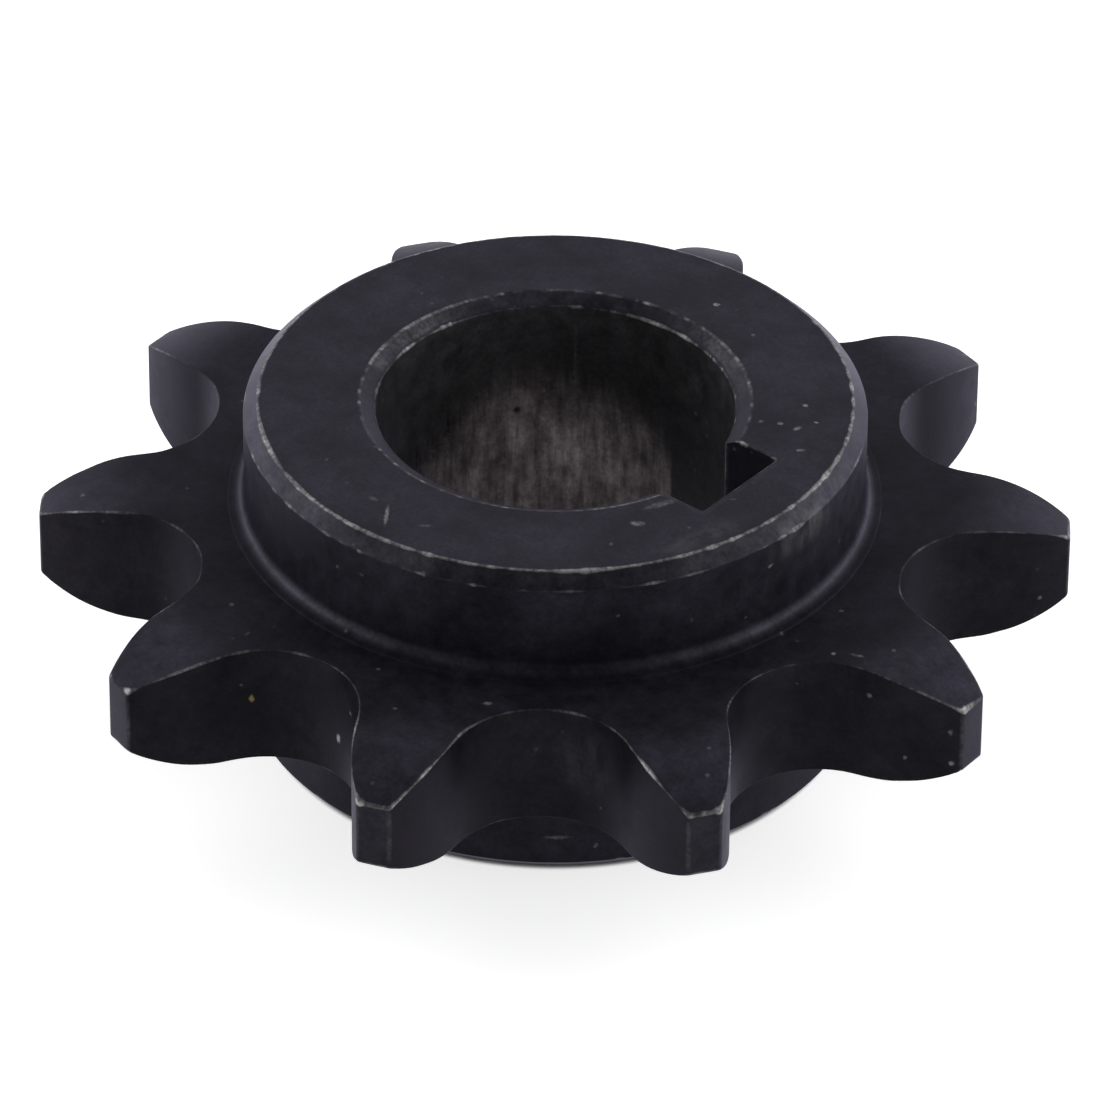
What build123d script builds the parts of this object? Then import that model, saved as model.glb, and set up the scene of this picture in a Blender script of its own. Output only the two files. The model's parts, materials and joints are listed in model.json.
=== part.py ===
from build123d import *
from math import cos, radians, sin, tan
import os

# Ten-tooth roller-chain sprocket with a hub on both sides, made from one piece of steel:
# the blank is turned, the tooth gaps are hobbed round its rim, and a keyway is broached
# along its bore.
#
# Lengths are millimetres and angles are degrees.
# +Z is the shaft axis, the origin is the centre of the lower hub face, and +X runs
# through the middle of the keyway.

# ---------------------------------------------------------------- the chain
pitch = 12.7               # from one roller to the next: 1/2 inch chain
roller_diameter = 7.92     # chain roller that sits between two teeth
tooth_count = 10

# ---------------------------------------------------------------- tooth form
seat_clearance = 0.10      # added to 0.505 of the roller for the radius of its seat
seat_opening = 136.0       # arc of the seat on a straight rack, before the turn per tooth
flank_radius = 11.0        # convex flank that lets the roller out of its seat
tip_height = 2.57          # tooth tip above the pitch circle
tooth_turn = 1.85          # teeth are hobbed this far round from the keyway's middle

# ---------------------------------------------------------------- toothed plate
plate_thickness = 5.8      # across the flat faces of the toothed plate
side_relief = 1.3          # how far each side of a tooth curves in by its tip
relief_depth = 4.6         # radial length of that curve

# ---------------------------------------------------------------- hub
overall_length = 16.0      # from hub face to hub face, with the plate in the middle
hub_ledge = 2.55           # flat ring of plate between the hub and the tooth roots
hub_chamfer = 0.65         # 45 degree chamfer round each hub face
hub_fillet = 0.6           # between the hub and the plate
facing_step = 0.1          # the plate is faced this much lower than the ring by the hub
facing_ring = 0.12         # width of that ring beyond the fillet

# ---------------------------------------------------------------- bore and keyway
bore_diameter = 16.0
bore_chamfer = 0.73        # radial width of the lead-in at each end of the bore
bore_chamfer_angle = 30.0  # measured from the hub face
key_width = 5.0
key_rise = 2.3             # key above the bore wall
key_side_clearance = 0.1
key_top_clearance = 0.2

# ---------------------------------------------------------------- derived sizes
tooth_pitch_angle = 360 / tooth_count
pitch_radius = pitch / (2 * sin(radians(tooth_pitch_angle / 2)))
seat_radius = 0.505 * roller_diameter + seat_clearance
seat_angle = seat_opening - 90 / tooth_count
root_radius = pitch_radius - seat_radius
tip_radius = pitch_radius + tip_height
hub_radius = root_radius - hub_ledge
bore_radius = bore_diameter / 2
face_height = overall_length / 2
plate_height = plate_thickness / 2


def half_section():
    """Half of the turned blank's section, from the plate's middle up to the hub face.

    It runs up the bore, across the hub face, down the hub and out along the plate to
    the tip circle, where a tangent arc takes the tooth sides in.
    """
    ring_height = plate_height + facing_step
    ring_radius = hub_radius + hub_fillet + facing_ring
    relief_start = tip_radius - relief_depth
    chamfer_depth = bore_chamfer * tan(radians(bore_chamfer_angle))
    bore_top = face_height - chamfer_depth

    fillet_top = (hub_radius, ring_height + hub_fillet)
    fillet_end = (hub_radius + hub_fillet, ring_height)
    relief_foot = (relief_start, plate_height)
    relief_tip = (tip_radius, plate_height - side_relief)

    bore_and_hub = Polyline(
        (bore_radius, 0),
        (bore_radius, bore_top),
        (bore_radius + bore_chamfer, face_height),
        (hub_radius - hub_chamfer, face_height),
        (hub_radius, face_height - hub_chamfer),
        fillet_top,
    )
    fillet = TangentArc(fillet_top, fillet_end, tangent=(0, -1))
    plate_face = Polyline(
        fillet_end,
        (ring_radius, ring_height),
        (ring_radius, plate_height),
        relief_foot,
    )
    tooth_side = TangentArc(relief_foot, relief_tip, tangent=(1, 0))
    rim = Polyline(relief_tip, (tip_radius, 0), (bore_radius, 0))
    return make_face([*bore_and_hub.edges(), fillet, *plate_face.edges(), tooth_side, *rim.edges()])


def turned_blank():
    """The half section mirrored about the plate's middle and revolved round the shaft axis."""
    upper = half_section()
    section = Plane.XZ * (upper + mirror(upper, about=Plane.XZ))
    return revolve(section, axis=Axis.Z)


def tooth_gap():
    """Outline of one gap, opening along +X, as one face.

    A circular seat is centred on the pitch circle.  Where the seat ends, each flank
    carries on as a tangent arc that bends the other way, as far as the middle of the
    tooth beside it, and leaves the blank there.
    """
    half_seat = seat_angle / 2
    half_tooth = tooth_pitch_angle / 2
    seat = CenterArc((pitch_radius, 0), seat_radius, 180 - half_seat, seat_angle)

    to_flank_centre = seat_radius + flank_radius
    centre_x = pitch_radius - to_flank_centre * cos(radians(half_seat))
    centre_y = to_flank_centre * sin(radians(half_seat))
    flank_turn = half_seat - half_tooth
    left_flank = CenterArc((centre_x, centre_y), flank_radius, -half_seat, flank_turn)
    right_flank = CenterArc((centre_x, -centre_y), flank_radius, half_seat, -flank_turn)

    left_end = left_flank @ 1
    right_end = right_flank @ 1
    clear_of_tips = tip_radius + pitch
    mouth = Polyline(
        left_end,
        (clear_of_tips, left_end.Y),
        (clear_of_tips, right_end.Y),
        right_end,
    )
    return make_face([seat, left_flank, right_flank, *mouth.edges()])


def tooth_gaps():
    """All the gaps, as one cutter that passes right through the plate."""
    cutter = extrude(tooth_gap(), amount=face_height, both=True)
    first_gap = tooth_turn + tooth_pitch_angle / 2
    return PolarLocations(0, tooth_count, start_angle=first_gap) * cutter


def keyway():
    """Square-cornered slot along the whole bore, with its middle on +X."""
    floor_radius = bore_radius + key_rise + key_top_clearance
    slot_width = key_width + 2 * key_side_clearance
    slot = Box(floor_radius, slot_width, 2 * overall_length)
    return Pos(floor_radius / 2, 0, 0) * slot


def sprocket():
    """The finished sprocket, standing on its lower hub face."""
    body = turned_blank()
    for gap in tooth_gaps():
        body -= gap
    body -= keyway()
    return Pos(0, 0, face_height) * body


os.makedirs("parts", exist_ok=True)
export_step(sprocket(), "parts/sprocket.step")
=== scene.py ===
# %% [markdown]
# # A roller-chain sprocket in blackened steel
#
# The sprocket is one piece of steel. Its blank was turned on a lathe, its ten tooth gaps
# were hobbed, its keyway was broached, and the whole part was blackened in a hot salt bath.
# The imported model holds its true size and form. This lesson makes the same form again as one
# closed skin, fine enough to carry what the real part has on it: edges that are broken and
# rubbed bright, tool marks, and small knocks.

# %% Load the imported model
import json
from math import acos, cos, pi, radians, sin, tan

import bpy
import numpy as np
from mathutils import Matrix, Vector


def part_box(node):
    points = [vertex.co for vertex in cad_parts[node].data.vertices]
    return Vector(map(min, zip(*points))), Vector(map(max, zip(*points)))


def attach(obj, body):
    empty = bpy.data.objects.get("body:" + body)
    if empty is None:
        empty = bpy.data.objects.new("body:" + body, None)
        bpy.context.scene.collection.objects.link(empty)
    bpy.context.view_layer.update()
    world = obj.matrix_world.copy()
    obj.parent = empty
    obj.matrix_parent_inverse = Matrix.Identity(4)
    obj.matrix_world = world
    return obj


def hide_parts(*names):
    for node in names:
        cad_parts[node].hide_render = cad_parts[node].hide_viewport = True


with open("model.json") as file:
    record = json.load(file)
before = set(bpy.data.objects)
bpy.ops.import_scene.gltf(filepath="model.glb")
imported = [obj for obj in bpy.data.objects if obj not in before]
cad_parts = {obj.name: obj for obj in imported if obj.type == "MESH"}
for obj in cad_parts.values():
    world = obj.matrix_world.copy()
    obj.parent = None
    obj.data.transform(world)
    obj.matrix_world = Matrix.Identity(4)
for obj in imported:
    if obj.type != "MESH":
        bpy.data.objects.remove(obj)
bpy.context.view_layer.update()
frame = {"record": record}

NODE = "sprocket"
MM = 0.001

# %% [markdown]
# ## The sizes that the part was made to
#
# A designer draws a sprocket from its chain: the pitch, the roller and the number of teeth
# give the pitch circle and the tooth gaps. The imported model's mounts give the bore, the
# keyway and the pitch circle, and its box gives the length, so the skin can't drift from
# those. The other sizes are named here. Lengths are millimetres and angles are degrees up to
# the moment when the mesh is made.

# %% Driving sizes
mounts = {mount["name"]: mount for mount in frame["record"]["mounts"]}
lowest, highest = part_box(NODE)

overall_length = (highest.z - lowest.z) / MM
bore_radius = mounts["bore"]["dims"]["r_mm"]
keyway_floor = mounts["keyway"]["pos_m"][0] / MM
pitch_radius = mounts["chain"]["dims"]["r_mm"]
tooth_count = mounts["chain"]["dims"]["count"]

roller_diameter = 7.92
seat_clearance = 0.10      # added to 0.505 of the roller for the radius of its seat
seat_opening = 136.0       # arc of the seat on a straight rack, before the turn per tooth
flank_radius = 11.0        # convex flank that lets the roller out of its seat
tip_height = 2.57          # tooth tip above the pitch circle
tooth_turn = 1.85          # the teeth sit this far round from the keyway's middle
plate_thickness = 5.8
side_relief = 1.3          # how far each side of a tooth curves in by its tip
relief_depth = 4.6         # radial length of that curve
hub_ledge = 2.55           # ring of plate between the hub and the tooth roots
hub_chamfer = 0.65         # 45 degree chamfer round each hub face
hub_fillet = 0.6           # between the hub and the plate
facing_step = 0.1          # the plate is faced this much lower than a ring by the hub
facing_ring = 0.12         # width of that ring beyond the fillet
bore_chamfer = 0.73        # radial width of the lead-in at each end of the bore
bore_chamfer_angle = 30.0  # measured from the hub face
keyway_width = 5.2

tooth_angle = 360 / tooth_count
seat_radius = 0.505 * roller_diameter + seat_clearance
half_seat = (seat_opening - 90 / tooth_count) / 2
tip_radius = pitch_radius + tip_height
hub_radius = pitch_radius - seat_radius - hub_ledge
middle = overall_length / 2    # height of the plate's middle above the floor
print(f"tip radius {tip_radius:.2f}, hub radius {hub_radius:.2f}, seat radius {seat_radius:.2f}")

# %% [markdown]
# ## Points in the plate's plane as complex numbers
#
# Every outline lies in the plane of the plate. Writing the point (x, y) as the complex
# number x + iy makes an arc, a turn and a mirror image one short expression each, and numpy
# works on a whole outline at a time. A few small helpers are enough. One of them eases a
# corner, which is what a deburring brush does to a sharp one.

# %% Helpers for outlines
def turned(angle):
    """The unit point at an angle in degrees: cos + i sin. Multiplying by it turns a point."""
    return np.exp(1j * np.radians(angle))


def run(start, end, count):
    """count points in a straight line from start, evenly spaced, stopping short of end."""
    return np.linspace(start, end, count, endpoint=False)


def arc(centre, radius, start, end, count):
    """count points of a circle from one angle to another, stopping short of the second."""
    return centre + radius * turned(run(start, end, count))


def eased(corner, back, ahead, ease, count):
    """A corner rounded by the parabola corner + back*ease*(1-s)^2 + ahead*ease*s^2.

    back and ahead are unit steps from the corner along its two sides, and s goes from 0,
    on the first side, towards 1, on the second.
    """
    s = run(0, 1, count)
    return corner + back * ease * (1 - s) ** 2 + ahead * ease * s**2


def closed(half):
    """A half outline between two points of its line of symmetry, then its mirror image."""
    return np.concatenate([half[:-1], np.conj(half[:0:-1])])


# %% [markdown]
# ## Two outlines with as many points each
#
# The tooth form is a hobbed one: a round seat for the chain's roller, then a convex flank
# that lets the roller swing out, then a narrow land on the tip circle. The inner outline is
# the bore with its square keyway. Both go once round the shaft with the same number of
# points, so that point n of one can be joined to point n of the other. More points are spent
# where the outline bends sharply.

# %% Tooth outline
TIP, CORNER, FLANK, SEAT = 3, 5, 12, 16     # points along each stretch of half a tooth
CORNER_EASE = 0.15         # mm along each side of a tooth tip's corner
INSET = 0.1                # mm to the second outline that shows which way is into the steel
HALF_TOOTH = TIP + CORNER + FLANK + SEAT
COLUMNS = 2 * HALF_TOOTH * tooth_count


def half_tooth(inset):
    """From the middle of a tooth tip to the bottom of the gap beside it, inset into the steel.

    The flank's circle touches the seat's circle from the other side, so their centres and
    the point where they meet lie on one line. The tip corner is where |centre + flank| is
    the tip radius, which the cosine rule gives as an angle on the flank's circle. An inset
    outline has the same centres, a wider seat, and a smaller flank and tip.
    """
    tip, flank, seat = tip_radius - inset, flank_radius - inset, seat_radius + inset
    to_tooth = turned(tooth_angle / 2)
    centre = pitch_radius - (seat + flank) * turned(half_seat)
    cosine = (tip**2 - abs(centre) ** 2 - flank**2) / (2 * abs(centre) * flank)
    corner_angle = np.degrees(np.angle(centre) + acos(cosine))
    corner = (centre + flank * turned(corner_angle)) * to_tooth

    along_tip = -1j * corner / abs(corner)
    along_flank = 1j * turned(corner_angle) * to_tooth
    tip_end = np.degrees(np.angle(corner) - CORNER_EASE / tip)
    flank_start = corner_angle + np.degrees(CORNER_EASE / flank)
    return np.concatenate([
        arc(0, tip, 0, tip_end, TIP),
        eased(corner, along_tip, along_flank, CORNER_EASE, CORNER),
        arc(centre, flank, flank_start, half_seat, FLANK) * to_tooth,
        (pitch_radius - seat * turned(np.linspace(half_seat, 0, SEAT + 1))) * to_tooth,
    ])


def tooth_outline(inset=0.0):
    """Half a tooth and its mirror image in the gap make one pitch, repeated round the rim."""
    half = half_tooth(inset)
    pitch_of_rim = np.concatenate([half[:-1], np.conj(half[:0:-1]) * turned(tooth_angle)])
    turns = turned(tooth_turn + tooth_angle * np.arange(tooth_count))
    return (turns[:, None] * pitch_of_rim).ravel()


outer = tooth_outline()
outer_out = (outer - tooth_outline(INSET)) / INSET       # out of the steel, 1 long on the runs
print(f"{COLUMNS} points round the teeth, from radius {abs(outer).min():.2f} to {abs(outer).max():.2f}")

# %% Bore and keyway outline
FLOOR, SLOT_CORNER, SLOT_SIDE = 20, 4, 14   # points along each stretch of half the keyway
BORE = COLUMNS // 2 + 1 - FLOOR - 2 * SLOT_CORNER - SLOT_SIDE    # and along half the bore
SLOT_EASE = 0.12           # mm along each side of a corner of the keyway


def bore_outline(inset=0.0):
    """From the middle of the keyway's floor round to the far side of the bore, and mirrored."""
    radius = bore_radius + inset
    half_width = keyway_width / 2 + inset
    floor_corner = keyway_floor + inset + 1j * half_width
    mouth = np.sqrt(radius**2 - half_width**2) + 1j * half_width
    bore_start = np.degrees(np.angle(mouth) + SLOT_EASE / radius)
    return closed(np.concatenate([
        run(floor_corner.real, floor_corner - 1j * SLOT_EASE, FLOOR),
        eased(floor_corner, -1j, -1, SLOT_EASE, SLOT_CORNER),
        run(floor_corner - SLOT_EASE, mouth + SLOT_EASE, SLOT_SIDE),
        eased(mouth, 1, 1j * mouth / abs(mouth), SLOT_EASE, SLOT_CORNER),
        radius * turned(np.linspace(bore_start, 180, BORE)),
    ]))


inner = bore_outline()
inner_out = (inner - bore_outline(INSET)) / INSET
ring = np.exp(2j * pi * np.arange(COLUMNS) / COLUMNS)    # the unit circle, with as many points
print(f"{len(inner)} points round the bore and keyway")


RUN_TURN, CORNER_TURN = 0.10, 0.25   # radians that an outline turns by at a point


def sharpness(outline):
    """1 at the corners of a closed outline and 0 along its runs, from how far it turns."""
    ahead = np.roll(outline, -1) - outline
    turn = abs(np.angle(ahead / np.roll(ahead, 1)))
    return np.clip((turn - RUN_TURN) / (CORNER_TURN - RUN_TURN), 0, 1)


# %% [markdown]
# ## Worn edges
#
# No machined edge is perfectly sharp. Deburring takes off about a tenth of a millimetre,
# handling knocks more off in places, and there the black coat is gone and bare steel shines.
# How much is off each edge is one array with a value for each point round the part: smooth
# waves of many lengths, short nicks, and the stretches that have been handled most. The same
# array tells the material where to be bright.

# %% How much is off an edge
COSINES = 24
WAVES = (8, 90)            # a cosine has at least 8 and fewer than 90 waves round the part
NICK_WIDTHS = (1.5, 4)     # half widths of the nicks, in columns
NICK_DEPTHS = (0.3, 1)     # shares of the deepest
BARE_PER_MM = 9            # how much barer an edge is for each mm more that is off


def smooth_noise(rng):
    """A closed row of values about 0, from -1 to 1: cosines with random phases, summed."""
    turn = 2 * pi * np.arange(COLUMNS) / COLUMNS
    number = rng.integers(*WAVES, COSINES)
    phase = rng.uniform(0, 2 * pi, COSINES)
    total = np.cos(number[:, None] * turn + phase[:, None]).sum(0)
    return total / abs(total).max()


def bump(away, half_width):
    """A raised cosine: 1 in its middle, 0 from half_width away and on."""
    return np.cos(np.clip(away / half_width, 0, 1) * pi) / 2 + 0.5


def knocked(rng, count, deepest):
    """What short nicks at random columns take off: the deepest of their bumps at each point."""
    column, half_width = rng.uniform(0, COLUMNS, count), rng.uniform(*NICK_WIDTHS, count)
    share = rng.uniform(*NICK_DEPTHS, count)
    away = abs((np.arange(COLUMNS) - column[:, None] + COLUMNS / 2) % COLUMNS - COLUMNS / 2)
    return (bump(away, half_width[:, None]) * deepest * share[:, None]).max(0)


def stretches(outline, places):
    """The highest bump at each point of an outline, from its angle round the shaft.

    Each place is an angle, a half width in degrees, and the height of its bump.
    """
    angle, half_width, size = np.array(places).T[:, :, None]
    away = abs((np.degrees(np.angle(outline)) - angle + 180) % 360 - 180)
    return (bump(away, half_width) * size).max(0)


def broken_edge(seed, outline, rubbed, ease, worn=0.2, uneven=0.35, knocks=40, knock=0.06):
    """What is off an edge at each point round the part, in mm, and how bare it is, 0 to 1.

    ease is what deburring took off, and it varies by the share uneven. To that come as many
    nicks as knocks says, the deepest of them knock, and the stretches that rubbed lists. An
    edge with just ease off is as bare as worn says.
    """
    rng = np.random.default_rng(seed)
    off = ease * (1 + uneven * smooth_noise(rng)) + knocked(rng, knocks, knock)
    off = off + stretches(outline, rubbed)
    return off, np.clip(worn + BARE_PER_MM * (off - ease), 0, 1)


def band(s):
    """How bare an eased edge is across its width: 0 at s = 0 and 1, and a round 1 between them."""
    return np.sqrt(4 * s * (1 - s))


# %% [markdown]
# ## The skin of one side
#
# Imagine the turned section as a line that starts half-way down the bore, climbs the bore
# wall, crosses the hub face, goes down the hub and out over the plate to the tooth outline,
# and ends half-way down the rim. Each step of that line is a row of points all the way round
# the part. Where a row lies on a turned surface, its height depends on its radius alone.

# %% Heights of the turned surfaces above the middle of the plate
face_height = middle
plate_height = plate_thickness / 2
chamfer_slope = tan(radians(bore_chamfer_angle))
chamfer_radius = bore_radius + bore_chamfer
relief_start = tip_radius - relief_depth
relief_radius = (relief_depth**2 + side_relief**2) / (2 * side_relief)
CREASE = 0.10              # half width of the eased line between bore chamfer and hub face
HAIR = 0.0015              # the skin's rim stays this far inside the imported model's


def face_at(radius):
    """Height of the hub face and the bore's chamfer: the chamfer's line, eased into the face."""
    inside = chamfer_radius - radius
    ease = (inside + CREASE) ** 2 / (4 * CREASE)
    drop = np.where(inside > CREASE, inside, np.where(inside > -CREASE, ease, 0))
    return face_height - chamfer_slope * drop


def plate_at(radius):
    """Height of the plate and the tooth sides: flat, then the arc that the sides curve in by."""
    past = np.clip(radius - relief_start, 0, None)
    return plate_height - relief_radius + np.sqrt(relief_radius**2 - past**2)


print(f"tooth sides curve in by {plate_height - plate_at(tip_radius):.2f} at their tips")

# %% Rows of points
def between(start, end, share):
    """Points from a circle to an outline in polar steps, so that a row bends round the shaft.

    The radius goes evenly, and the angle fast at first and slowly by the end, as 1 - (1-s)^2.
    Then a line to a point on a tooth's flank has already moved into that tooth when it
    climbs it, and no two lines cross.
    """
    angle = np.angle(start) + np.angle(end / start) * (1 - (1 - share) ** 2)
    return (abs(start) + (abs(end) - abs(start)) * share) * np.exp(1j * angle)


def row(place, height, bare=0.0, bored=0.0, hobbed=0.0, smooth=0.0):
    """One row: its places and heights, how bare, bored and hobbed it is, and its share of burnish and
    painted highlight.
    """
    return [value * np.ones(COLUMNS) for value in (place, height, bare, bored, hobbed, smooth)]


# %% Bore and its chamfer
ON_BORE = 0.01             # mm from the bore's radius within which a point lies on it
SLOT_CORNER_BARE = 0.5     # how bare the keyway's corners are
CHAMFER_INSET = 0.22       # mm from the bore's outline to the next row
CROWDING = 0.03            # mm between rows where the keyway leaves them no room
BURNISHED = 0.5            # how smooth the form tool left the bore's chamfer


def bore_rows(seed, rubbed):
    """Up the bore's wall, round its mouth, and out over the chamfer to the hub face.

    The wall ends below its mouth by what is off the edge. The keyway cuts through the
    chamfer: there the rows crowd together and pass by.
    """
    off, wear = broken_edge(seed, inner, rubbed["bore"], ease=0.06, worn=0.05)
    corners = SLOT_CORNER_BARE * sharpness(inner)
    bored = (abs(abs(inner) - bore_radius) < ON_BORE).astype(float)
    rows = [
        row(inner, (face_at(abs(inner)) - off) * share, corners, bored)
        for share in np.linspace(0, 1, 6)
    ]
    for s in (0.25, 0.5, 0.75, 1.0):
        place = inner - inner_out * off * s**2
        height = face_at(abs(place)) - off * (1 - s) ** 2
        rows.append(row(place, height, band(s) * wear, bored * (1 - s)))

    last = bore_outline(CHAMFER_INSET)
    scuffed = stretches(ring, rubbed["scuffs"])
    rows.append(row(last, face_at(abs(last)), scuffed, smooth=BURNISHED))
    off, wear = broken_edge(seed + 1, ring, rubbed["bore chamfer"], ease=0.05, worn=0.08)
    for step, share in enumerate((-1, -0.5, 0, 0.5, 1)):
        target = chamfer_radius + share * CREASE
        radius = np.maximum(target, abs(last) + CROWDING * (step + 1))
        on_edge = (radius == target) * band(share / 2 + 0.5)
        bare = np.maximum(on_edge * wear, scuffed * (share < 0))
        place = radius * last / abs(last)
        rows.append(row(place, face_at(radius), bare, smooth=BURNISHED * (share < 0)))
    return rows


# %% Hub
HIGHLIGHT_LINE_POWER = 8          # the higher, the narrower the painted highlight line along the fillet
STEP_PROFILE = ((-0.02, 0), (0.0, 0.2), (0.01, 0.9), (0.03, 1))    # mm out, share of the drop


def hub_rows(seed, rubbed, start):
    """From the row start over the hub face, down the chamfer and the wall, to the plate.

    An eased edge is a parabola, as in eased(): it leaves one face by (1-s)^2 and joins the
    next by s^2. The fillet is a quarter circle, and the small step comes where the plate was
    faced. The bright line along the middle of the fillet is a painted highlight.
    """
    rows = []
    off, wear = broken_edge(seed + 2, ring, rubbed["hub face"], ease=0.10, worn=0.5, knock=0.045)
    rim_of_face = hub_radius - hub_chamfer
    for share in np.linspace(1, 0, 9)[1:-1]:
        rows.append(row(between(ring * rim_of_face, start, share), face_height))
    for s in np.linspace(0, 1, 5):
        out = -off * (1 - s) ** 2 + off * s**2 * cos(pi / 4)
        height = face_height - off * s**2 * sin(pi / 4)
        rows.append(row(ring * (rim_of_face + out), height, band(s) * wear, smooth=s))
    off, wear = broken_edge(seed + 3, ring, rubbed["hub wall"], ease=0.05, worn=0.0, knocks=16)
    for s in np.linspace(0, 1, 5):
        out = -off * (1 - s) ** 2 * cos(pi / 4)
        drop = -off * (1 - s) ** 2 * sin(pi / 4) + off * s**2
        height = face_height - hub_chamfer - drop
        rows.append(row(ring * (hub_radius + out), height, band(s) * wear, smooth=(1 - s) ** 2))

    ring_height = plate_height + facing_step
    wall_top, wall_foot = rows[-1][1], ring_height + hub_fillet
    for share in (0.25, 0.5, 0.75):
        rows.append(row(ring * hub_radius, wall_top + (wall_foot - wall_top) * share))
    for turn in np.linspace(180, 270, 7):
        fillet = hub_fillet * turned(turn)
        # The bright line along the fillet's middle is a painted highlight.
        fillet_highlight_line = sin(radians(2 * (turn - 180))) ** HIGHLIGHT_LINE_POWER
        radius = hub_radius + hub_fillet + fillet.real
        rows.append(row(ring * radius, wall_foot + fillet.imag, smooth=fillet_highlight_line))
    step_radius = hub_radius + hub_fillet + facing_ring
    for out, share in STEP_PROFILE:
        rows.append(row(ring * (step_radius + out), ring_height - facing_step * share))
    return rows


# %% Plate and teeth
TURNED_LAND = 0.05         # mm below the tip radius down to which the rim is turned, not hobbed
TOOTH_INSET = 0.6          # mm from the tooth outline to the last row before its edge
ROUNDED_FROM = 0.5         # mm below the tip radius from which the tips' edges are rounder
SHELTERED_RADIUS = 17.5    # the teeth's edges are less worn towards this radius
SHELTER_DEPTH = 3          # mm of radius over which the wear falls off
LEAST_WEAR = 0.35          # share of it that is left deep in the gaps
TOOTH_CORNER_BARE = 0.07   # how bare the corners of the tips are


def tooth_rows(seed, rubbed, start):
    """From the row start out over the plate to the teeth, round their edges, and down the rim."""
    in_gap = (abs(outer) < tip_radius - TURNED_LAND).astype(float)
    rim = outer * (1 - HAIR / tip_radius)
    end = tooth_outline(TOOTH_INSET)
    rows = []
    for share in np.linspace(0, 1, 10)[1:]:
        place = between(start, end, share)
        rows.append(row(place, plate_at(abs(place))))

    ease = rubbed["tooth ease"]
    off, wear = broken_edge(seed + 4, outer, rubbed["teeth"], ease, uneven=0.6, knocks=90)
    wear = wear * np.clip((abs(outer) - SHELTERED_RADIUS) / SHELTER_DEPTH, LEAST_WEAR, 1)
    near_tip = np.clip((abs(outer) - tip_radius) / ROUNDED_FROM + 1, 0, 1)
    off = off + rubbed["tip rounding"] * near_tip
    for s in np.linspace(0, 1, 5):
        place = rim - outer_out * off * (1 - s) ** 2
        height = plate_at(abs(place)) - off * s**2
        rows.append(row(place, height, band(s) * wear, hobbed=in_gap * s))

    top, corners = rows[-1][1], TOOTH_CORNER_BARE * sharpness(outer)
    for share in np.linspace(0, 1, 5)[1:]:
        rows.append(row(rim, top * (1 - share), corners, hobbed=in_gap))
    return rows


# %% Both sides
def skin_of_one_side(seed, rubbed):
    """All the rows from the bore's middle to the rim's middle, stacked: one array of each kind.

    The arrays are the places in the plane, the heights, and four shares from 0 to 1 for the
    material: bare metal, bored, hobbed, and burnished, with a painted highlight along the
    fillet's middle. rubbed says how each edge is worn.
    """
    bore = bore_rows(seed, rubbed)
    hub = hub_rows(seed, rubbed, start=bore[-1][0])
    teeth = tooth_rows(seed, rubbed, start=hub[-1][0])
    return [np.stack(kind) for kind in zip(*bore, *hub, *teeth)]


# The most handled stretches of each edge: angle round the shaft and half width in degrees,
# and how much more is off, in mm. For scuffs the last number is how bare they are. The two
# sizes at the end, in mm, are what is off all the teeth's edges and what more off their tips.
rubbed_above = {
    "bore": [(96, 14, 0.07), (83, 6, 0.07), (-174, 7, 0.07), (168, 8, 0.04), (-150, 8, 0.03),
             (-30, 18, 0.04)],
    "bore chamfer": [(172, 26, 0.05), (-164, 9, 0.05), (62, 24, 0.03), (-28, 12, 0.03)],
    "scuffs": [(176, 24, 0.11), (-163, 8, 0.10), (66, 26, 0.08), (-24, 8, 0.10)],
    "hub face": [(-45, 9, 0.06), (-128, 9, 0.04), (-109, 5, 0.05), (-86, 9, 0.04), (12, 12, 0.03)],
    "hub wall": [(-48, 4, 0.03), (-33, 3, 0.06), (-24, 5, 0.03), (-75.5, 1.5, 0.05), (-107, 4, 0.05),
                 (-144, 3, 0.06), (-1, 3, 0.10), (-5, 2, 0.05), (24, 8, 0.03)],
    "teeth": [(-104.4, 1.0, 0.10), (-71.8, 0.9, 0.12), (-68.4, 0.9, 0.05), (-65.5, 1.2, 0.08),
              (-62, 4, 0.03), (-35.9, 0.9, 0.07), (-32.5, 0.9, 0.09), (-39, 2, 0.05),
              (0.2, 1.0, 0.06), (-77, 2.5, 0.04), (-84, 4, 0.03), (-100, 3, 0.03), (37, 3, 0.03)],
    "tooth ease": 0.06,
    "tip rounding": 0.05,
}
rubbed_below = {edge: [(110, 20, 0.04)] for edge in rubbed_above}
rubbed_below.update({"tooth ease": 0.03, "tip rounding": 0.08})
upper = skin_of_one_side(seed=11, rubbed=rubbed_above)
lower = skin_of_one_side(seed=41, rubbed=rubbed_below)
print(f"{len(upper[0])} rows of {COLUMNS} points on each side")

# %% [markdown]
# ## One closed mesh
#
# The lower side is made by the same function and turned upside down. Its rows run back from
# the rim to the bore, and the first and last of them are shared with the upper side, so the
# whole grid closes on itself both ways, like a doughnut. It has no seam, no pole and no open
# edge. Its normals are worked out here too, weighted by area: the flat faces then stay flat
# in the light right up to their worn edges.

# %% Put the two sides together
lower[1] = -lower[1]
place, height, *shares = [
    np.concatenate([above, below[-2:0:-1]]) for above, below in zip(upper, lower)
]
points = np.stack([place.real, place.imag, height + middle], axis=-1) * MM
LEAST_STEP = 0.06 * MM     # no row of the texture is lower than one of this size


def next_row(grid):
    """What the next row has at each place: the grid moved back by one row, the first row last."""
    return np.roll(grid, -1, axis=0)


def next_column(grid):
    """What the next column has at each place: the grid moved back by one column."""
    return np.roll(grid, -1, axis=1)


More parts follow.
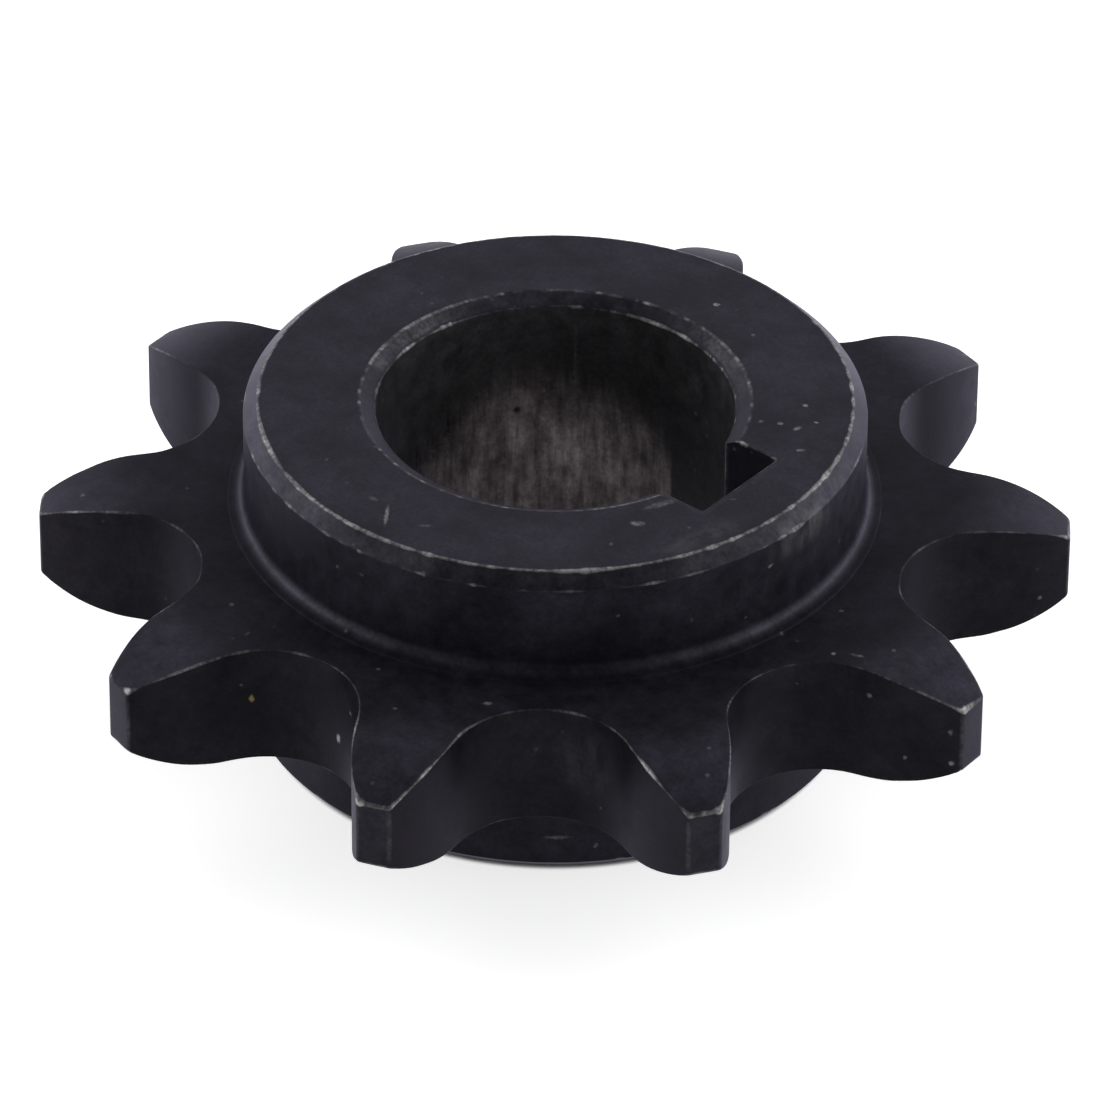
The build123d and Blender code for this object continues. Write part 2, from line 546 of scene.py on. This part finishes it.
def grid_normals(grid):
    """Area-weighted normals: each quad's is half the cross product of its diagonals."""
    across = next_row(next_column(grid)) - grid
    down = next_column(grid) - next_row(grid)
    face = np.cross(across, down) / 2
    total = face + np.roll(face, 1, axis=0)
    total = total + np.roll(total, 1, axis=1)
    return total / np.linalg.norm(total, axis=-1, keepdims=True)


def row_heights(grid):
    """How far up a texture each row lies, 0 to 1: the mean steps between rows, added up."""
    step = np.linalg.norm(next_row(grid) - grid, axis=-1).mean(axis=1)
    climb = np.concatenate([[0], np.cumsum(np.maximum(step, LEAST_STEP))])
    return climb / climb[-1]


def grid_mesh(name, grid, values):
    """A mesh from a grid that closes both ways, with named numbers at its points.

    Its UV map is one rectangle: columns go across it and rows go up it. The corners of the
    last column and row take 1 there, where the grid's first column and row have 0.
    """
    rows, columns = grid.shape[:2]
    number = np.arange(rows * columns).reshape(rows, columns)
    quads = np.stack(
        [number, next_row(number), next_row(next_column(number)), next_column(number)], axis=-1
    ).reshape(-1, 4)
    mesh = bpy.data.meshes.new(name)
    mesh.from_pydata(grid.reshape(-1, 3), [], quads)
    for label, value in values.items():
        attribute = mesh.attributes.new(label, "FLOAT", "POINT")
        attribute.data.foreach_set("value", value.astype(np.float32).ravel())

    across = np.arange(columns)[None, :, None] + np.array([0, 0, 1, 1])
    up = row_heights(grid)[np.arange(rows)[:, None] + np.array([0, 1, 1, 0])]
    corners = np.stack(np.broadcast_arrays(across / columns, up[:, None, :]), axis=-1)
    layer = mesh.uv_layers.new(name="OFBake")
    layer.data.foreach_set("uv", corners.astype(np.float32).ravel())

    mesh.shade_smooth()
    mesh.normals_split_custom_set_from_vertices(grid_normals(grid).reshape(-1, 3))
    return mesh


SHARES = ("bare_metal", "bored", "hobbed", "smoothed")
mesh = grid_mesh("steel_skin", points, dict(zip(SHARES, shares)))
skin = bpy.data.objects.new("steel_skin", mesh)
bpy.context.scene.collection.objects.link(skin)
print(f"{len(mesh.polygons)} quads, {2 * len(mesh.polygons)} triangles")

# %% [markdown]
# ## Colours and nodes
#
# Colours are written as sRGB hex codes, as a colour picker shows them, and turned to the
# linear numbers that light is worked out in. One helper adds a node, sets it and links it,
# so that each material below reads as a list of what it is made of.

# %% Two helpers for materials
def linear(code):
    """An sRGB hex colour as linear RGBA: v / 12.92 in the dark part, a 2.4 power above it."""
    values = [int(code[i:i + 2], 16) / 255 for i in (1, 3, 5)]
    return (*[v / 12.92 if v <= 0.04045 else ((v + 0.055) / 1.055) ** 2.4 for v in values], 1)


def node(tree, kind, inputs=(), **settings):
    """Adds one node to a tree and gives its outputs.

    inputs is a list of values for its first sockets, or a dict that names or numbers them. A
    socket of another node is linked, and anything else is set as the socket's own value.
    """
    new = tree.nodes.new("ShaderNode" + kind)
    for name, value in settings.items():
        setattr(new, name, value)
    numbered = inputs if isinstance(inputs, dict) else dict(enumerate(inputs))
    for socket, value in numbered.items():
        if isinstance(value, bpy.types.NodeSocket):
            tree.links.new(value, new.inputs[socket])
        else:
            new.inputs[socket].default_value = value
    return new.outputs


SMOOTH = {"interpolation_type": "SMOOTHSTEP"}    # lets a Map Range node start and end softly

# %% [markdown]
# ## Blackened steel
#
# Hot black oxide turns the outer micron of the steel into magnetite. It is nearly black, it
# has a faint violet cast, and it mirrors only one or two parts in a hundred of what stands
# before it, but far more at a glancing angle. So nearly all that the eye gets from it is a
# soft reflection of the white room. What varies is how each surface was cut, what has
# touched it since, and some shade and highlight painted into its colour:
#
# - the lathe left fine rings round the shaft;
# - the hobbed gaps mirror more than the faces do, and their darkest colour is painted shade
#   of the shadowed paper that they mirror;
# - the chamfers and the fillets were burnished by the form tool that cut them, and the bright
#   line along the middle of each fillet is a painted highlight;
# - on one side the bore is hardly coated: its steel is grey-brown, streaked, and mirrors more,
#   and the arched top of that stretch is a painted reflection of the lit paper inside the bore;
# - worn edges, scratches and specks are bare steel.
#
# All of it is read from the place on the part in millimetres, or from the four shares that
# the skin carries, so the finish stays with the part however it is turned or lit.

# %% Places on the steel, in mm
steel = bpy.data.materials.new("black_oxide_on_machined_steel")
steel.use_nodes = True
tree = steel.node_tree
tree.nodes.clear()

STREAK_RISE, BLOTCH_RISE = 0.08, 0.4    # shares of the height that draw a noise out along the shaft
own_place = node(tree, "TexCoord")["Object"]
place = node(tree, "VectorMath", {0: own_place, "Scale": 1 / MM}, operation="SCALE")[0]
flat = node(tree, "VectorMath", [place, (1, 1, 0)], operation="MULTIPLY")[0]
radius = node(tree, "VectorMath", [flat], operation="LENGTH")["Value"]
height = node(tree, "SeparateXYZ", [place])["Z"]
round_shaft = node(tree, "CombineXYZ", {"X": radius, "Z": height})[0]
along_shaft = node(tree, "VectorMath", [place, (1, 1, STREAK_RISE)], operation="MULTIPLY")[0]
drawn_out = node(tree, "VectorMath", [place, (1, 1, BLOTCH_RISE)], operation="MULTIPLY")[0]
normal = node(tree, "NewGeometry")["Normal"]
level = node(tree, "Math", [node(tree, "SeparateXYZ", [normal])["Z"]], operation="ABSOLUTE")[0]
bare_edge, bored, hobbed, smoothed = [
    node(tree, "Attribute", attribute_name=name)["Fac"] for name in SHARES
]
print(f"shares read by the material: {', '.join(SHARES)}")

# %% Noises
# The cut surface has a grain of a few hundredths of a millimetre, too fine to show, so it is
# drawn as coarse as a fifth of one. The other sizes are those of the real marks.
noises = {                 # where it is read, cells per mm, finer levels, how strong they are
    "cloud": (place, 0.3, 3.0, 0.5),              # oil left in patches of 3 mm
    "mottle": (place, 1.1, 4.0, 0.6),             # uneven oxide, 1 mm across
    "grain": (place, 5.0, 2.0, 0.5),
    "rings": (round_shaft, 5.0, 3.0, 0.5),        # the lathe tool's feed of 0.2 mm a turn
    "streaks": (along_shaft, 2.4, 4.0, 0.65),     # scores in the bore, 0.4 mm by 5 mm
    "blotches": (drawn_out, 1.5, 4.0, 0.65),      # stains between them, 0.7 mm by 1.7 mm
}
cloud, mottle, grain, rings, streaks, blotches = [
    node(tree, "TexNoise", dict(zip(("Vector", "Scale", "Detail", "Roughness"), numbers)))["Fac"]
    for numbers in noises.values()
]
WIDE, NARROW = (0.3, 0.7), (0.35, 0.65)    # ranges that hold nearly all and most of a noise


def made_uneven(value, *factors):
    """A value times a factor for each noise: a range of the noise, mapped to the factor's range."""
    for noise, span, ends in factors:
        factor = node(tree, "MapRange", [noise, *span, *ends])[0]
        value = node(tree, "Math", [value, factor], operation="MULTIPLY")[0]
    return value


print(f"{len(noises)} noises")

# %% [markdown]
# ## One finish laid over another
#
# Each zone has a mask, the oxide's colour, its roughness, and how far it is a mirror, from 0
# for matte to 1 for metal. The zones are laid over each other in the order below. The upright
# faces are more matte than the level ones, and their darker colour is painted shade, as they
# mirror shadowed paper. The ring of plate close to the hub is the most matte of all, and its
# darker colour is painted shade from the hub. Where the oxide hardly took in the bore, the
# bare stretch ends at the top in an arch that the streaks fray; the arch follows the
# reflection of the lit paper inside the bore, so it is partly a painted reflection.

# %% Soft edges between the zones
# What each mask goes by, where it starts and ends, and its values there if not 0 and 1.
soft_edges = {
    "off the hub": (radius, 13.9, 14.5),
    "short of the teeth": (radius, 17.5, 21.0, 1.0, 0.0),
    "tooth sides": (radius, 13.9, 20.0),
    "upright": (level, 0.1, 0.5, 1.0, 0.0),
    "tooth tips": (radius, tip_radius - 0.12, tip_radius - 0.04),
}
masks = {name: node(tree, "MapRange", edge, **SMOOTH)[0] for name, edge in soft_edges.items()}
by_hub = [masks["off the hub"], masks["short of the teeth"]]
masks["ring by the hub"] = node(tree, "Math", by_hub, operation="MULTIPLY")[0]
print(f"{len(masks)} masks")

# %% The stretch of the bore that is hardly coated, with an arched top that is a painted reflection
SPARED = turned(135.5)                  # its middle, round the shaft
HALF_ANGLES = (48.3, 47.0)              # degrees to each side where it starts, and where it is full
TOP = (10.6, 13.0)                      # heights where it starts to fade, and where it is gone
ARCH_START, ARCH_DROP = 0.67, 2.5       # share of the bore's radius; mm that the top falls by there
FRAYING = 1.2                           # mm up and down

towards = (SPARED.real, SPARED.imag, 0)
across_bore = node(tree, "VectorMath", [flat, towards], operation="DOT_PRODUCT")["Value"]
sides = [bore_radius * cos(radians(angle)) for angle in HALF_ANGLES]
# The arch follows where the reflection of the lit paper inside the bore ends: a painted reflection.
arch = [across_bore, ARCH_START * bore_radius, bore_radius, ARCH_DROP, 0.0]
frayed_height = height
for raised in (arch, [streaks, *WIDE, -FRAYING, FRAYING]):
    raised = node(tree, "MapRange", raised)[0]
    frayed_height = node(tree, "Math", [frayed_height, raised], operation="ADD")[0]
uncoated_and_painted_reflection = bored
for edge in ([across_bore, *sides], [frayed_height, *TOP, 1.0, 0.0]):
    within = node(tree, "MapRange", edge, **SMOOTH)[0]
    uncoated_and_painted_reflection = node(tree, "Math", [uncoated_and_painted_reflection, within], operation="MULTIPLY")[0]
print(f"bare stretch of the bore: {2 * HALF_ANGLES[1]:.0f} degrees wide, up to {TOP[0]} mm")

# %% Zones
zones = [                              # mask, colour, roughness, mirror
    (None, "#222129", 0.52, 0.50),                       # hub face, under all the others
    (masks["tooth sides"], "#27262f", 0.50, 0.50),
    # Plate by the hub: its darker colour is painted shade from the hub; its roughness is its own.
    (masks["ring by the hub"], "#1e1e25", 0.68, 0.50),
    # Upright faces: their darker colour is painted shade, as they mirror shadowed paper.
    (masks["upright"], "#1f1e25", 0.60, 0.60),           # hub walls
    (masks["tooth tips"], "#201f25", 0.46, 0.60),
    # Chamfers and fillets are burnished; the bright line along each fillet is a painted highlight.
    (smoothed, "#302f35", 0.42, 0.68),                   # chamfers and fillets
    # The tooth gaps' darkest colour is painted shade of the shadowed paper that they mirror.
    (hobbed, "#161519", 0.50, 0.70),                     # tooth gaps
    (bored, "#343436", 0.50, 0.30),                      # bore wall, where it took the oxide
    # Where the bore hardly took the oxide; the arch at its top is a painted reflection.
    (uncoated_and_painted_reflection, "#464142", 0.27, 0.80),                   # bore wall, where it hardly did
]
oxide, finish = linear(zones[0][1]), (*zones[0][2:], 0, 1)
for mask, code, *numbers in zones[1:]:
    oxide = node(tree, "Mix", {0: mask, 6: oxide, 7: linear(code)}, data_type="RGBA")[2]
    finish = node(tree, "Mix", {0: mask, 6: finish, 7: (*numbers, 0, 1)}, data_type="RGBA")[2]
roughness, mirror = node(tree, "SeparateColor", [finish])[:2]    # red and green
print(f"{len(zones)} zones")

# %% Uneven colour
patchy = made_uneven(1.0, (cloud, WIDE, (0.70, 1.30)), (mottle, WIDE, (0.60, 1.40)))
patchy = made_uneven(patchy, (grain, WIDE, (0.82, 1.18)))
streaky = made_uneven(1.0, (streaks, NARROW, (0.6, 1.4)), (blotches, NARROW, (0.6, 1.4)))
streaky = node(tree, "Mix", {0: uncoated_and_painted_reflection, 2: 1.0, 3: streaky})[0]
shade = node(tree, "Math", [patchy, streaky], operation="MULTIPLY")[0]
oxide = node(tree, "VectorMath", {0: oxide, "Scale": shade}, operation="SCALE")[0]
print(f"{len(tree.nodes)} nodes so far")

# %% [markdown]
# ## Marks
#
# A used or tumbled part has a few scratches, chips and specks that anyone can point at. Each
# one is an ellipsoid in space: its middle, its half sizes, and its turn round the shaft's
# direction. A Mapping node of the Texture kind moves a place into the ellipsoid's own frame,
# where its surface is at a length of 1. The places are shaken a little by a fine noise
# first, so that no mark has a smooth rim. Fine specks all over come from a cell texture:
# the rare cells whose random colour is high have a dot of steel in their middle.

# %% Marks one by one: middle, half sizes in mm, turn in degrees, how bare
FACE, PLATE = 16.0, 10.9   # heights of the upper hub face and the plate's upper face
bright_marks = [
    ((0.15, -11.75, FACE), (0.75, 0.10, 0.1), -55, 0.5),  # scratches and specks on the hub face
    ((-1.12, -11.13, FACE), (0.25, 0.14, 0.1), 0, 0.2),
    ((1.91, -11.26, FACE), (0.30, 0.08, 0.1), 39, 0.2),
    ((0.76, 10.47, FACE), (0.16, 0.13, 0.1), 0, 0.9),
    ((8.85, 6.71, FACE), (0.13, 0.12, 0.1), 0, 0.6),
    ((8.88, 4.89, FACE), (0.14, 0.12, 0.1), 0, 0.5),
    ((9.70, 5.07, FACE), (0.22, 0.12, 0.1), 80, 0.45),
    ((10.05, 5.98, FACE), (0.12, 0.09, 0.1), 0, 0.6),
    ((10.87, 3.81, FACE), (0.20, 0.10, 0.1), 50, 0.45),
    ((10.94, -1.06, FACE), (0.16, 0.08, 0.1), 39, 0.2),
    ((8.91, -5.17, FACE), (0.34, 0.20, 0.1), 30, 0.4),
    ((8.75, -3.40, FACE), (0.80, 0.20, 0.1), 65, 0.22),
    ((-4.66, -10.18, FACE), (0.14, 0.08, 0.1), 100, 0.15),
    ((8.52, 2.62, 15.95), (0.42, 0.12, 0.10), 0, 0.7),    # burr at the keyway's mouth
    ((-5.38, -15.80, PLATE), (0.14, 0.12, 0.1), 0, 0.25), # plate
    ((-3.40, -17.00, PLATE), (0.20, 0.08, 0.1), 89, 0.12),
    ((7.97, -14.21, PLATE), (0.20, 0.12, 0.1), 45, 0.7),
    ((5.13, -17.09, PLATE), (0.12, 0.10, 0.1), 0, 0.3),
    ((17.16, -1.65, PLATE), (0.11, 0.11, 0.1), 0, 0.6),
    ((18.05, -1.09, PLATE), (0.36, 0.09, 0.1), 20, 0.35),
    ((1.39, -16.50, 7.19), (0.14, 0.12, 0.24), 0, 1.0),   # tooth gaps
    ((2.36, -16.81, 9.17), (0.10, 0.10, 0.15), 0, 0.35),
    ((19.19, -1.64, 9.58), (0.13, 0.12, 0.12), 0, 0.4),
    ((22.67, -0.30, 8.47), (0.10, 0.12, 0.16), 0, 0.2),
    ((22.75, -0.25, 6.80), (0.12, 0.12, 0.14), 0, 0.4),
    ((-0.86, -13.87, 13.96), (0.10, 0.12, 0.10), 0, 0.25),  # hub wall
    ((0.53, -13.89, 14.18), (0.16, 0.12, 0.10), 0, 0.12),
    ((13.77, -1.91, 14.20), (0.12, 0.20, 0.08), 0, 0.4),
    ((9.00, -10.60, 2.05), (0.60, 0.12, 0.10), 40, 0.2),    # lower hub
    ((10.21, -9.43, 1.52), (0.10, 0.12, 0.18), 45, 0.25),
    ((-4.35, 6.72, 12.80), (0.10, 0.12, 2.00), 33, 0.10),   # bore
]
smears = [                                                # rubbed on in passing
    ((12.00, -12.20, 8.50), (2.00, 0.60, 1.80), 8, 0.03),
    ((13.80, 0.30, 15.00), (0.60, 2.40, 1.00), 0, 0.12),
    ((11.60, -4.20, FACE), (2.50, 0.80, 0.1), 75, 0.05),
]
stains = [                                                # the last is the stain's colour
    ((-6.30, 4.93, 10.03), (0.20, 0.20, 0.22), 0, "#141414"),
    ((-2.45, -17.87, 8.31), (0.12, 0.12, 0.20), 0, "#6b6244"),
]
print(f"{len(bright_marks)} marks, {len(smears)} smears, {len(stains)} stains")

# %% Ragged ellipsoids
SHAKE = 0.16               # mm from side to side that a place is shaken by
SHAKE_CELLS = 6.0          # per mm
RIM = (0.3, 1.3)           # a mark is full inside the first length and gone past the second

ragged = node(tree, "TexNoise", {"Vector": place, "Scale": SHAKE_CELLS, "Detail": 2.0})["Color"]
ragged = node(tree, "VectorMath", [ragged, (0.5, 0.5, 0.5)], operation="SUBTRACT")[0]
shaken = [ragged, (SHAKE, SHAKE, SHAKE), place]
shaken = node(tree, "VectorMath", shaken, operation="MULTIPLY_ADD")[0]


def inside(middle, half_sizes, angle, most=1.0):
    """most in an ellipsoid's middle and 0 outside it, from the length of own place / half size."""
    inputs = {0: shaken, "Location": middle, "Rotation": (0, 0, radians(angle)), "Scale": half_sizes}
    own = node(tree, "Mapping", inputs, vector_type="TEXTURE")[0]
    length = node(tree, "VectorMath", [own], operation="LENGTH")["Value"]
    return node(tree, "MapRange", [length, *RIM, most, 0.0], **SMOOTH)[0]


def strongest(marks):
    """The highest share that any of the marks has at a place."""
    highest = 0.0
    for mark in marks:
        highest = node(tree, "Math", [highest, inside(*mark)], operation="MAXIMUM")[0]
    return highest


marked = made_uneven(strongest(bright_marks), (grain, NARROW, (0.5, 1.5)))
smeared = made_uneven(strongest(smears), (blotches, (0.4, 0.65), (0.0, 1.6)))
print(f"{len(tree.nodes)} nodes so far")

# %% Fine specks
SPECK_CELLS = 1.1                   # per mm
SPECK_SIZES = (0.05, 0.16)          # of a cell from its middle: where a dot is full, and gone
RARE = (0.84, 0.96)                 # cells with a random number under 0.84 have no speck
BRIGHTEST_SPECK = 0.3
cells = node(tree, "TexVoronoi", {"Vector": shaken, "Scale": SPECK_CELLS})
chance = node(tree, "SeparateColor", [cells["Color"]])[0]
rare = node(tree, "MapRange", [chance, *RARE, 0.0, BRIGHTEST_SPECK], **SMOOTH)[0]
dot = node(tree, "MapRange", [cells["Distance"], *SPECK_SIZES, 1.0, 0.0], **SMOOTH)[0]
specks = node(tree, "Math", [dot, rare], operation="MULTIPLY")[0]
print(f"specks up to {2 * SPECK_SIZES[1] / SPECK_CELLS:.2f} mm across")

# %% Bare metal and stains
BARE_STEEL = "#8e8c8c"
bare = made_uneven(bare_edge, (grain, NARROW, (0.45, 1.35)), (mottle, NARROW, (0.5, 1.5)))
for share in (marked, smeared, specks):
    bare = node(tree, "Math", [bare, share], operation="MAXIMUM")[0]
bare = node(tree, "Clamp", [bare])[0]
color = node(tree, "Mix", {0: bare, 6: oxide, 7: linear(BARE_STEEL)}, data_type="RGBA")[2]
for *ellipsoid, code in stains:
    stained = inside(*ellipsoid)
    color = node(tree, "Mix", {0: stained, 6: color, 7: linear(code)}, data_type="RGBA")[2]

# %% Roughness, metal and relief
ROUGHER = 0.05                             # how much the roughness varies, up and down
GRAIN_DEPTH, RING_DEPTH = 0.003, 0.002     # mm
varied = node(tree, "MapRange", [mottle, *WIDE, -ROUGHER, ROUGHER])[0]
roughness = node(tree, "Math", [roughness, varied], operation="ADD")[0]
metallic = node(tree, "Math", [mirror, bare], operation="MAXIMUM")[0]
reliefs = [
    node(tree, "MapRange", [grain, 0, 1, 0, GRAIN_DEPTH])[0],
    node(tree, "MapRange", [rings, 0, 1, 0, RING_DEPTH])[0],
]
relief = node(tree, "Math", reliefs, operation="ADD")[0]
bumped = node(tree, "Bump", {"Height": relief, "Distance": MM, "Strength": 1.0})[0]
surface = node(tree, "BsdfPrincipled", {
    "Base Color": color,
    "Metallic": metallic,
    "Roughness": roughness,
    "Normal": bumped,
    "Specular IOR Level": 0.15,
    "Specular Tint": linear("#efebff"),
})[0]
node(tree, "OutputMaterial", {"Surface": surface})
mesh.materials.append(steel)
print(f"{len(tree.nodes)} nodes in {steel.name}")

# %% [markdown]
# ## Camera
#
# A long lens from far off shows a small machined part as a catalogue does: its circles are
# clean ellipses, and the far teeth are nearly as large as the near ones. The camera's place
# is given by what it aims at, its distance, and two angles, because those are what one would
# change.

# %% Camera
AIM = Vector((0.024, 0.019, 7.475)) * MM
DISTANCE = 412.0 * MM
VIEW_TURN = -50.66          # where the camera stands, in degrees round the shaft from +X
VIEW_HEIGHT = 35.22         # and in degrees above the floor
ROLL = 0.435                # degrees
LENS, SENSOR = 297.1, 36    # mm

turn = Matrix.Rotation(radians(VIEW_TURN + 90), 4, "Z")
tilt = Matrix.Rotation(radians(90 - VIEW_HEIGHT), 4, "X")
roll = Matrix.Rotation(radians(ROLL), 4, "Z")
view = turn @ tilt @ roll
camera = bpy.data.objects.new("camera", bpy.data.cameras.new("camera"))
camera.data.lens = LENS
camera.data.sensor_width = SENSOR
camera.data.clip_start, camera.data.clip_end = 0.01, 10
camera.matrix_world = Matrix.Translation(AIM + view @ Vector((0, 0, DISTANCE))) @ view
bpy.context.scene.collection.objects.link(camera)
bpy.context.scene.camera = camera
print("camera stands at, in mm:", [round(x / MM) for x in camera.matrix_world.translation])

# %% [markdown]
# ## Floor and light
#
# The sprocket stands on white paper in a white tent that is open where the camera looks in.
# The paper is a plain matt white that takes the part's soft shadow. What the eye and the
# steel's reflections see of it is raised to full white by a light of its own, which adds no
# light to the part. That light fades out in a ring at the hub's foot, a painted shadow that
# keeps the line under the hub's chamfer dark. The tent is the world: white all round, dark in
# the open front, and brighter where a soft box stands on each side. Polished edges need all
# three to read as metal: something dark, something white and something brighter.
# read as metal: something dark, something white and something brighter.

# %% White paper
paper = bpy.data.materials.new("white_paper")
paper.use_nodes = True
tree = paper.node_tree
tree.nodes.clear()
GLOW = 0.70                         # strength of the paper's own light
FOOT_SHADOW = 0.35 * MM             # how far from the hub's foot it is back at full strength
rays = node(tree, "LightPath")
glow = rays["Is Camera Ray"]
for kind in ("Is Glossy Ray", "Is Transmission Ray"):
    glow = node(tree, "Math", [glow, rays[kind]], operation="ADD")[0]
# Painted shadow: the paper's own light fades out in a ring at the hub's foot.
from_shaft = node(tree, "VectorMath", [node(tree, "TexCoord")["Object"]], operation="LENGTH")["Value"]
past_foot = [from_shaft, (hub_radius - hub_chamfer) * MM]
past_foot = node(tree, "Math", past_foot, operation="SUBTRACT")[0]
from_foot = node(tree, "Math", [past_foot], operation="ABSOLUTE")[0]
clear_of_foot = node(tree, "MapRange", [from_foot, 0.0, FOOT_SHADOW], **SMOOTH)[0]
for share in (GLOW, clear_of_foot):
    glow = node(tree, "Math", [glow, share], operation="MULTIPLY")[0]
matte = node(tree, "BsdfPrincipled", {
    "Base Color": linear("#e7e7e7"),
    "Roughness": 1.0,
    "Specular IOR Level": 0.0,
    "Emission Color": (1, 1, 1, 1),
    "Emission Strength": glow,
})[0]
node(tree, "OutputMaterial", {"Surface": matte})

HALF_SIZE = 2.0                     # metres from the part to the paper's edges
LOW = -0.02 * MM                    # a hair under the hub, so that the two don't lie in one plane
corners = [(x * HALF_SIZE, y * HALF_SIZE, LOW) for x, y in ((-1, -1), (1, -1), (1, 1), (-1, 1))]
sheet = bpy.data.meshes.new("floor")
sheet.from_pydata(corners, [], [(0, 1, 2, 3)])
sheet.materials.append(paper)
floor = bpy.data.objects.new("floor", sheet)
bpy.context.scene.collection.objects.link(floor)
print(f"white paper, {2 * HALF_SIZE:.0f} m square")

# %% White tent, open towards the camera, with a soft box on each side
world = bpy.data.worlds.new("tent")
world.use_nodes = True
bpy.context.scene.world = world
tree = world.node_tree
tree.nodes.clear()
OPENING_TURN = VIEW_TURN - 8        # where the middle of the opening stands, round the shaft
OPENING_HEIGHT = 48.0               # and how high, in degrees
BOXES_TURN = VIEW_TURN + 92         # the line from one soft box to the other, through the part
OPENING_RIM = (0.3, 0.85)           # cosines from the middle where it starts, and is full
BOXES_RIM = (0.3, 0.9)              # and the same for a soft box
IN_OPENING = 0.10                   # strengths, where plain tent is 1
IN_BOXES = 2.45
direction = node(tree, "TexCoord")["Generated"]


def along(angle, rise):
    """How far the direction looked in agrees with the one at two angles: their dot product."""
    across = turned(angle) * cos(radians(rise))
    inputs = [direction, (across.real, across.imag, sin(radians(rise)))]
    return node(tree, "VectorMath", inputs, operation="DOT_PRODUCT")["Value"]


facing = along(OPENING_TURN, OPENING_HEIGHT)
aside = node(tree, "Math", [along(BOXES_TURN, 0)], operation="ABSOLUTE")[0]
strengths = [
    node(tree, "MapRange", [facing, *OPENING_RIM, 1.0, IN_OPENING], **SMOOTH)[0],
    node(tree, "MapRange", [aside, *BOXES_RIM, 1.0, IN_BOXES], **SMOOTH)[0],
]
strength = node(tree, "Math", strengths, operation="MULTIPLY")[0]
light = node(tree, "Background", {"Color": (1, 1, 1, 1), "Strength": strength})[0]
node(tree, "OutputWorld", {"Surface": light})
print(f"opening at {OPENING_TURN:.1f} degrees round and {OPENING_HEIGHT:.0f} up")
bpy.context.scene.view_settings.view_transform = "Standard"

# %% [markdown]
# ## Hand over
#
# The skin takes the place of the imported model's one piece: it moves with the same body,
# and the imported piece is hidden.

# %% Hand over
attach(skin, "root")
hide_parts(NODE)
